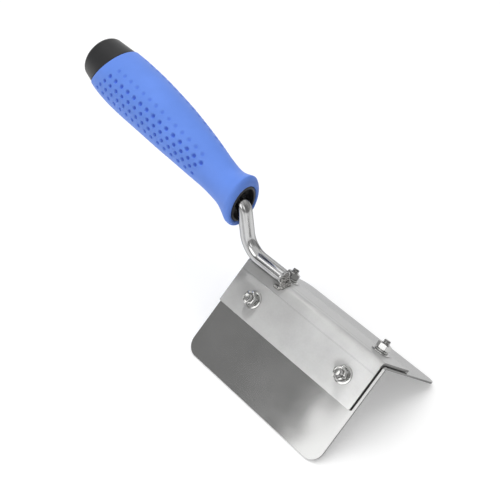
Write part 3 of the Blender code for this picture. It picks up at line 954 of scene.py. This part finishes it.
def core_mesh():
    """Hollow core: a collar with a dished face, a boss and a web on the rod, open at the rear."""
    rear = SHOULDER - 0.3
    web = (TANG_LENGTH - 8, TANG_LENGTH - 1)
    bore = ROD_RADIUS + 0.08

    def oval(s, inset):
        return handle_ring(lambda turn: core_outline(s, inset), EVEN_TURNS)

    def bored(s, radius=bore):
        return handle_ring(lambda turn: (s, radius, radius), EVEN_TURNS, tang_line)

    def between(s, share):
        """Ring between the collar's inner rim and the bore, for the dished face."""
        near = handle_ring(lambda turn: (s, COLLAR[0] - 1.5, COLLAR[1] - 1.5), EVEN_TURNS)
        far = bored(s)
        return [a.lerp(b, share) for a, b in zip(near, far)]

    rim = ((0.7, 0.1), (0.35, 0.2), (0.25, 0.45), (0.05, 0.9), (0.05, 1.15), (0.3, 1.45))
    collar = [oval(s, inset) for s, inset in rim]
    outer = [oval(s, 0.0) for s in (rear, 100, 94, 80, 62, 46, 32, 22, 14, 9, 6, 4, 2.4, 1.2)]
    inner = [oval(s, CORE_WALL) for s in (rear, 100, 90, 74, 58, web[1])]
    inner += [bored(web[1]), bored(web[0])] + [oval(s, CORE_WALL) for s in (web[0], 28, 18)]
    inner += [bored(18), bored(5.5)]
    dished = ((5.0, 0.9), (4.6, 0.6), (4.0, 0.3), (3.0, 0.08), (1.5, 0.0), (0.7, 0.0))
    dish = [between(s, share) for s, share in dished]
    return loft("core", list(reversed(outer)) + inner + dish + list(reversed(collar)), closed=True)


piece("core_moulding", core_mesh(), BLACK_PLASTIC, "black_plastic", "handle_core", sharp=45)


def butt_mesh():
    """Black butt: a spigot inside the core, the body behind the seam and a rounded, gently crowned end."""
    wall = 2.0
    spigot = CORE_WALL + 0.5
    corner = 2.6
    crown = 0.5
    body_end = HANDLE_LENGTH - crown - corner

    def surface(s, inset=0.0):
        return outline(s, SEAM_STEP + inset)

    def ring_at(station, s, inset):
        return handle_ring(lambda turn: station(s, inset), EVEN_TURNS)

    def end_ring(share, distance):
        _, width, height = surface(body_end, corner)
        return handle_ring(lambda turn: (distance, width * share, height * share), EVEN_TURNS)

    inner_end = body_end - 0.5
    rings = [end_ring(0.5, inner_end + 0.4), end_ring(0.85, inner_end)]
    rings += [ring_at(surface, inner_end - 1.5, wall), ring_at(surface, 121.0, wall)]
    rings += [ring_at(core_outline, s, spigot + wall) for s in (SHOULDER, 100.0, 92.0)]
    rings += [ring_at(core_outline, s, spigot) for s in (92.0, 100.0, SHOULDER)]
    rings.append(ring_at(core_outline, SHOULDER, 0.0))
    rings.append(handle_ring(lambda turn: under_seam(turn, 0.5, 0.0), EVEN_TURNS))
    rings.append(handle_ring(lambda turn: (seam(turn) + 0.25, *core_outline(seam(turn))[1:]), EVEN_TURNS))
    for back, inset in ((0.25, 0.5), (0.3, 0.2), (0.45, 0.05), (0.8, 0.0)):
        rings.append(handle_ring(lambda turn, b=back, n=inset: surface(seam(turn) + b, n), EVEN_TURNS))
    steps = 8
    for i in range(1, steps + 1):
        rings.append(handle_ring(
            lambda turn, share=i / steps: surface(seam(turn) + 0.8 + (body_end - seam(turn) - 0.8) * share),
            EVEN_TURNS,
        ))
    for i in range(1, 11):
        angle = math.pi / 2 * i / 10
        _, width, height = surface(body_end, corner * (1 - math.cos(angle)))
        rings.append(handle_ring(
            lambda turn, end=(body_end + corner * math.sin(angle), width, height): end, EVEN_TURNS
        ))
    for share, drop in ((0.9, 0.93), (0.75, 0.62), (0.6, 0.38), (0.4, 0.16), (0.2, 0.04), (0.08, 0.0)):
        rings.append(end_ring(share, HANDLE_LENGTH - crown * drop))
    return loft("butt", rings, closed=False)


piece("butt_moulding", butt_mesh(), BLACK_PLASTIC, "black_plastic", "butt_cap", sharp=45)

# ---- rod ----

ROD_LIFT = 5.6
ROD_END = 27.5
LOWER_BEND = 12.5
UPPER_BEND = 6.0
RISER_ANGLE = math.radians(101)
RISER_FOOT = -1.3


def arc_points(centre, radius, start, end, steps):
    sense = 1 if end > start else -1
    for i in range(steps + 1):
        angle = start + (end - start) * i / steps
        point = centre + radius * Vector((math.cos(angle), 0, math.sin(angle)))
        yield point, sense * Vector((-math.sin(angle), 0, math.cos(angle)))


def rod_path():
    rise = Vector((math.cos(RISER_ANGLE), 0, math.sin(RISER_ANGLE)))
    back = rising(TANG_RISE)
    foot = Vector((RISER_FOOT, 0, ROD_LIFT))
    head = foot + rise * ((TANG_FRONT - foot).cross(back).y / rise.cross(back).y)
    lower_turn = math.pi - RISER_ANGLE
    upper_turn = math.pi - TANG_RISE - RISER_ANGLE
    lower_run = LOWER_BEND * math.tan(lower_turn / 2)
    upper_run = UPPER_BEND * math.tan(upper_turn / 2)
    lower_centre = Vector((foot.x + lower_run, 0, foot.z + LOWER_BEND))
    upper_centre = head - rise * upper_run + UPPER_BEND * Vector((-rise.z, 0, rise.x))
    west = Vector((-1, 0, 0))
    level_run = 26.5
    level = (ROD_END - level_run * i / 40 for i in range(40))
    path = [(Vector((x, 0, ROD_LIFT)), west) for x in level if x > lower_centre.x + 0.5]
    lower = list(arc_points(lower_centre, LOWER_BEND, -math.pi / 2, -math.pi / 2 - lower_turn, 28))
    start = RISER_ANGLE - math.pi / 2
    upper = list(arc_points(upper_centre, UPPER_BEND, start, start + upper_turn, 20))
    path += lower
    path += [(lower[-1][0].lerp(upper[0][0], i / 8), lower[-1][1]) for i in range(1, 8)]
    path += upper
    path += [(upper[-1][0].lerp(tang_line(TANG_LENGTH), i / 6), back) for i in range(1, 7)]
    return path


def rod_mesh():
    """Round bar with a sawn, chamfered end. Each point keeps its turn about the bar, for its die lines and
    painted reflection streaks.
    """
    sides = 64
    path = rod_path()
    rings = []

    def ring(point, travel, radius):
        across = Vector((0, 1, 0))
        up = across.cross(travel)
        made = []
        for i in range(sides):
            t = 2 * math.pi * i / sides
            made.append(point + radius * (math.cos(t) * up + math.sin(t) * across))
        return made

    first, travel = path[0]
    for back, inset in ((0.0, 0.55), (0.04, 0.38), (0.16, 0.2), (0.4, 0.06), (0.7, 0.0)):
        rings.append(ring(first + travel * back, travel, ROD_RADIUS - inset))
    rings += [ring(point, way, ROD_RADIUS) for point, way in path[2:-1]]
    last, way = path[-1]
    rings.append(ring(last - way * 0.4, way, ROD_RADIUS))
    rings.append(ring(last, way, ROD_RADIUS - 0.4))
    mesh = loft("rod", rings, closed=False)
    around = mesh.attributes.new("round", "FLOAT_VECTOR", "POINT").data
    drift = 0.004  # the lines change a little from ring to ring
    for i in range(len(rings) * sides):
        t = 2 * math.pi * i / sides
        around[i].vector = (math.cos(t), math.sin(t), drift * (i // sides))
    return mesh


piece("rod_bar", rod_mesh(), ROD_STEEL, "rod_steel", "shank_rod", sharp=35)

# ---- weld ----


def weld_mesh():
    """A U of overlapping drops round the rod's end, and drops up its end face, merged into one skin."""
    builder = bmesh.new()

    def drop(x, y, z, radius):
        place = Matrix.Translation((x, y, z))
        bmesh.ops.create_icosphere(builder, subdivisions=3, radius=radius, matrix=place)

    steps = 17
    behind = 3.3  # the U starts this far behind the rod's end
    reach = 4.6
    half_width = 3.5
    for i in range(steps + 1):
        turn = math.pi * (i / steps - 0.5)
        size = 1.25 + 0.22 * math.sin(2.9 * i + 0.6) - (0.3 if i in (0, steps) else 0.0)
        y, z = fold_point(half_width * math.sin(turn), -0.75, BRACKET_TOP, BRACKET_FOLD_RADIUS)
        x = ROD_END - behind + reach * max(math.cos(turn), 0.0) ** 0.7 + 0.2 * math.sin(4.1 * i)
        drop(x, y, z + 0.15 * math.sin(5.3 * i), size)
    climbing = 22
    for i in range(climbing):
        # up the rod's end face, from side to side
        y = 3.1 * math.sin(2.4 * i + 0.3) * (1 - 0.02 * i)
        drop(ROD_END + 0.35 - 0.02 * i, y, 2.2 + 0.26 * i, 0.95 + 0.25 * math.sin(3.7 * i) - 0.012 * i)
    mesh = bpy.data.meshes.new("weld")
    builder.to_mesh(mesh)
    builder.free()
    holder = shown("weld_holder", mesh)
    remesh = holder.modifiers.new("skin", "REMESH")
    remesh.mode = "VOXEL"
    remesh.voxel_size = 0.16
    soften = holder.modifiers.new("soften", "SMOOTH")
    soften.factor = 0.5
    soften.iterations = 2
    return taken_mesh(holder)


piece("weld_drops", weld_mesh(), WELD_METAL, "weld_metal", "weld_bead", sharp=60)

# ---- floor ----

FLOOR_HALF = 6.0  # metres

floor_builder = bmesh.new()
bmesh.ops.create_grid(floor_builder, x_segments=1, y_segments=1, size=FLOOR_HALF)
floor = shown("floor", to_mesh("floor", floor_builder))
floor_material = bpy.data.materials.new("floor_white")
floor_material.use_nodes = True
floor_shader = floor_material.node_tree.nodes["Principled BSDF"]
floor_shader.inputs["Base Color"].default_value = (0.8, 0.8, 0.8, 1)
floor_shader.inputs["Roughness"].default_value = 0.9
floor_shader.inputs["Specular IOR Level"].default_value = 0.0
floor_shader.inputs["Emission Color"].default_value = (1, 1, 1, 1)
floor_shader.inputs["Emission Strength"].default_value = 0.26
floor.data.materials.append(floor_material)

# ---- room: dim at the sides and bright overhead ----

ROOM_SIDES = 0.37
ROOM_OVERHEAD = 0.80
BRIGHTER_FROM, BRIGHTEST_FROM = 0.60, 0.84  # as heights on a sphere of radius 1

room = bpy.data.worlds.new("studio")
room.use_nodes = True
room_nodes = room.node_tree.nodes
room_links = room.node_tree.links
direction = room_nodes.new("ShaderNodeTexCoord").outputs["Generated"]
split = room_nodes.new("ShaderNodeSeparateXYZ")
brightness = room_nodes.new("ShaderNodeMapRange")
brightness.interpolation_type = "SMOOTHSTEP"
brightness.inputs["From Min"].default_value = BRIGHTER_FROM
brightness.inputs["From Max"].default_value = BRIGHTEST_FROM
brightness.inputs["To Min"].default_value = ROOM_SIDES
brightness.inputs["To Max"].default_value = ROOM_OVERHEAD
room_links.new(direction, split.inputs[0])
room_links.new(split.outputs["Z"], brightness.inputs["Value"])
room_links.new(brightness.outputs["Result"], room_nodes["Background"].inputs["Color"])
bpy.context.scene.world = room
bpy.context.scene.view_settings.view_transform = "Standard"

# ---- lights ----

ROD_TOP = world((16, 0, 9))
LEAF_FRONT = world((84, -35, -30))
GRIP_MIDDLE = world((-60, 0, 40))
BLADE_MIDDLE = Vector((0.0, 0.0, 0.05))


def panel(name, azimuth, elevation, distance, size, radiance, target):
    """A soft box that faces a target, as far from it as given. Azimuth 0 is +X and 90 is +Y."""
    a, e = math.radians(azimuth), math.radians(elevation)
    towards = Vector((math.cos(e) * math.cos(a), math.cos(e) * math.sin(a), math.sin(e)))
    width, height = size
    data = bpy.data.lights.new(name, "AREA")
    data.shape = "RECTANGLE"
    data.size = width
    data.size_y = height
    data.energy = radiance * math.pi * width * height
    made = shown(name, data)
    made.rotation_mode = "QUATERNION"
    made.rotation_quaternion = (-towards).to_track_quat("-Z", "Y")
    made.location = target + towards * distance
    made.visible_camera = False
    return made


floor_wash = panel("floor_wash", 90, 84, distance=1.5, size=(1.2, 1.0), radiance=2.1, target=BLADE_MIDDLE)
strip = panel("softbox_strip", 223.5, 37.5, distance=0.5, size=(0.095, 0.15), radiance=1.8, target=ROD_TOP)
panel("softbox_back", 176, 60, distance=0.8, size=(0.26, 0.16), radiance=2.0, target=ROD_TOP)
panel("softbox_left", 264.5, 32, distance=0.6, size=(0.5, 0.36), radiance=1.85, target=LEAF_FRONT)
panel("softbox_far", 130, 20, distance=1.5, size=(1.6, 1.1), radiance=0.50, target=BLADE_MIDDLE)
panel("softbox_front", 322, 30, distance=0.9, size=(0.30, 0.34), radiance=1.2, target=ROD_TOP)
key_light = panel("key_light", 144, 74.5, distance=1.2, size=(0.085, 0.085), radiance=910, target=ROD_TOP)
grip_light = panel("grip_light", 160, 78, distance=1.2, size=(0.13, 0.13), radiance=130, target=ROD_TOP)
grip_fill = panel("grip_fill", 252, 8, distance=0.9, size=(0.5, 0.4), radiance=0.9, target=GRIP_MIDDLE)
# close in front of the bracket's free end
NEAR_PLACE = world((150, -90, 20))
near_light = panel("near_light", 328, 14, distance=0, size=(0.05, 0.05), radiance=38, target=NEAR_PLACE)


def group(name, members):
    """A collection for light linking, outside the scene."""
    made = bpy.data.collections.new(name)
    for member in members:
        made.objects.link(member)
    return made


pieces = [made for made in bpy.context.scene.collection.objects if made.type == "MESH" and made is not floor]
handle_pieces = group("handle_pieces", [made for made in pieces if "moulding" in made.name])
metal = [made for made in pieces if "moulding" not in made.name]
metal_pieces = group("metal_pieces", metal)
bright_pieces = group("bright_pieces", [made for made in metal if made not in (blade, bracket)])

# these four light what they face without showing in its reflections
for light in (key_light, near_light, grip_light, grip_fill):
    light.visible_glossy = False
strip.light_linking.receiver_collection = bright_pieces
for light in (key_light, near_light):
    light.light_linking.receiver_collection = metal_pieces
for light in (grip_light, grip_fill):
    light.light_linking.receiver_collection = handle_pieces
# the wash is for the floor alone, and the handle shades neither it nor the bracket
floor_wash.light_linking.receiver_collection = group("washed_floor", [floor])
for light in (floor_wash, key_light):
    light.light_linking.blocker_collection = metal_pieces
